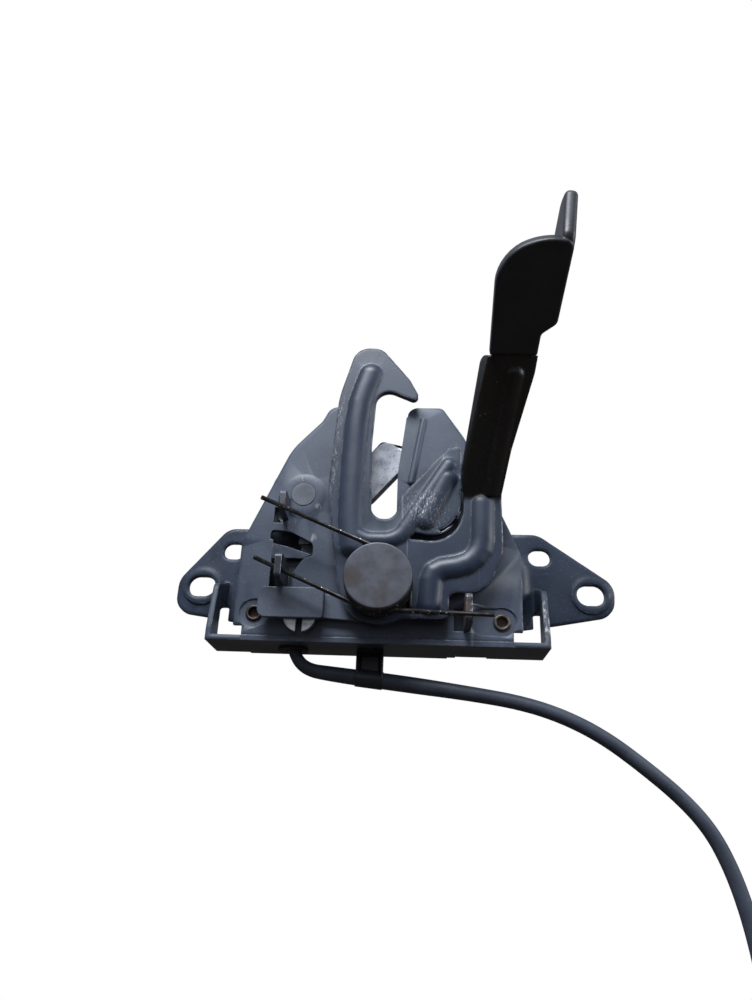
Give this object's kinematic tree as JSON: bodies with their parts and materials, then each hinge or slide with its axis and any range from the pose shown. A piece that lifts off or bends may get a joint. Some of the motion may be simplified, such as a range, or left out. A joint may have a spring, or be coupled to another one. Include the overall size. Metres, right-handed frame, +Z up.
{
  "type": "hood latch",
  "caption": "Front hood latch: pressed carrier with two ears, rotary claw in a striker slot, sprung pawl, safety hook with a padded pull handle, and a switch with its lead.",
  "frame": {"origin": "Rear face of the mounting ears, midway between the two lower bolt slots", "axes": "+Z up along the striker slot, +X to the right seen from the front, the front towards -Y"},
  "size_m": [0.2125, 0.0989, 0.3514],
  "materials": {
    "black_coat": "satin dark blue-black electrocoat",
    "hook_coat": "satin dark coat, worn at the edges",
    "spring_steel": "oiled dark spring wire",
    "rivet_steel": "turned, grey-brown",
    "claw_steel": "blasted grey, speckled",
    "zinc": "dull zinc",
    "plated_steel": "plated",
    "black_plastic": "moulded, fine grain",
    "bush_plastic": "moulded",
    "sleeve": "dark grey soft sleeve",
    "gland_rubber": "matt rubber",
    "tin": "tinned"
  },
  "bodies": {
    "frame": {"base_plate": "black_coat", "back_plate": "black_coat", "eyelet_left": "plated_steel", "eyelet_right": "plated_steel", "center_rivet": "rivet_steel", "spring_spacer": "bush_plastic", "pivot_washer": "plated_steel", "hook_spring": "spring_steel", "pawl_spring": "spring_steel", "claw_rivet": "rivet_steel", "claw_spring": "spring_steel", "switch_housing": "black_plastic", "switch_screws": "plated_steel", "flange_gland": "gland_rubber", "lead_clip": "black_plastic", "switch_lead": "sleeve", "lead_connector": "black_plastic", "lead_terminals": "tin"},
    "hook": {"hook_lever": "hook_coat", "lever_grip": "black_plastic"},
    "pawl": {"pawl": "black_coat", "pawl_sleeve": "plated_steel", "release_lever": "black_coat", "cable_anchor": "zinc"},
    "claw": {"claw": "claw_steel", "claw_bush": "bush_plastic", "claw_pin": "plated_steel"},
    "plunger": {"switch_plunger": "bush_plastic"}
  },
  "joints": [
    {"name": "hook_turn", "type": "hinge", "parent": "frame", "child": "hook", "pos_m": [-0.0049, -0.0265, -0.0059], "axis": [0, 1, 0], "range_deg": [-18, 0], "stiffness_Nm_per_rad": 0.35, "springref_deg": 20.05, "deforming": ["hook_spring"]},
    {"name": "pawl_turn", "type": "hinge", "parent": "frame", "child": "pawl", "pos_m": [-0.0049, -0.0185, -0.0059], "axis": [0, 1, 0], "range_deg": [-12, 0], "stiffness_Nm_per_rad": 0.35, "springref_deg": 20.05, "deforming": ["pawl_spring"]},
    {"name": "claw_turn", "type": "hinge", "parent": "frame", "child": "claw", "pos_m": [-0.0359, -0.0161, 0.032], "axis": [0, 1, 0], "range_deg": [0, 50], "stiffness_Nm_per_rad": 0.1, "springref_deg": -20.05, "deforming": ["claw_spring"]},
    {"name": "plunger_slide", "type": "slide", "parent": "frame", "child": "plunger", "axis": [1, 0, 0], "range_m": [0, 0.003]}
  ],
  "couplings": [
    {"joint": "plunger_slide", "follows": "claw_turn", "m_per_rad": 0.0034377}
  ]
}
